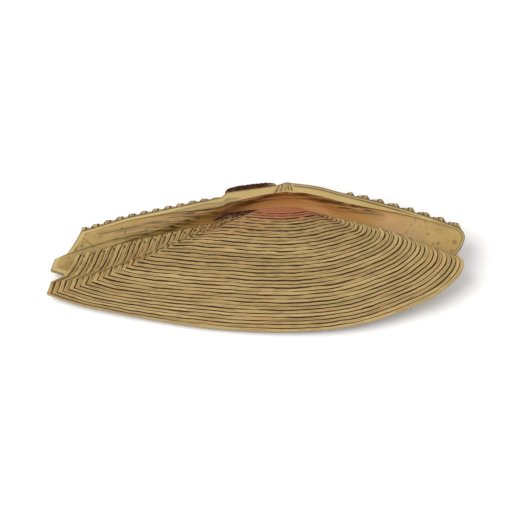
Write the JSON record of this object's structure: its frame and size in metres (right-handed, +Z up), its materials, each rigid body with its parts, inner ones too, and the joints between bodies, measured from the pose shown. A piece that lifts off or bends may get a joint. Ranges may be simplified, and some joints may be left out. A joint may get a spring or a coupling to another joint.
{
  "type": "bivalve shell",
  "caption": "Pair of long, beaked tellin-like shell valves slid apart on their rims, one seen from inside and one from outside, with torn ligament halves at the hinge.",
  "frame": {"origin": "on the resting surface, below the middle of the pair's bounding box", "axes": "+X along the shell towards its rounded front end, +Y towards the hinge, +Z up"},
  "size_m": [0.075, 0.028, 0.0114],
  "materials": {
    "left_shell": "satin, warm tan outside, orange brown inside",
    "right_shell": "satin with fine dark growth lines, salmon at the beak",
    "ligament": "dry, fibrous, dark brown horn"
  },
  "bodies": {
    "root": {"left_valve": "left_shell", "right_valve": "right_shell", "left_ligament": "ligament", "right_ligament": "ligament"}
  },
  "joints": []
}
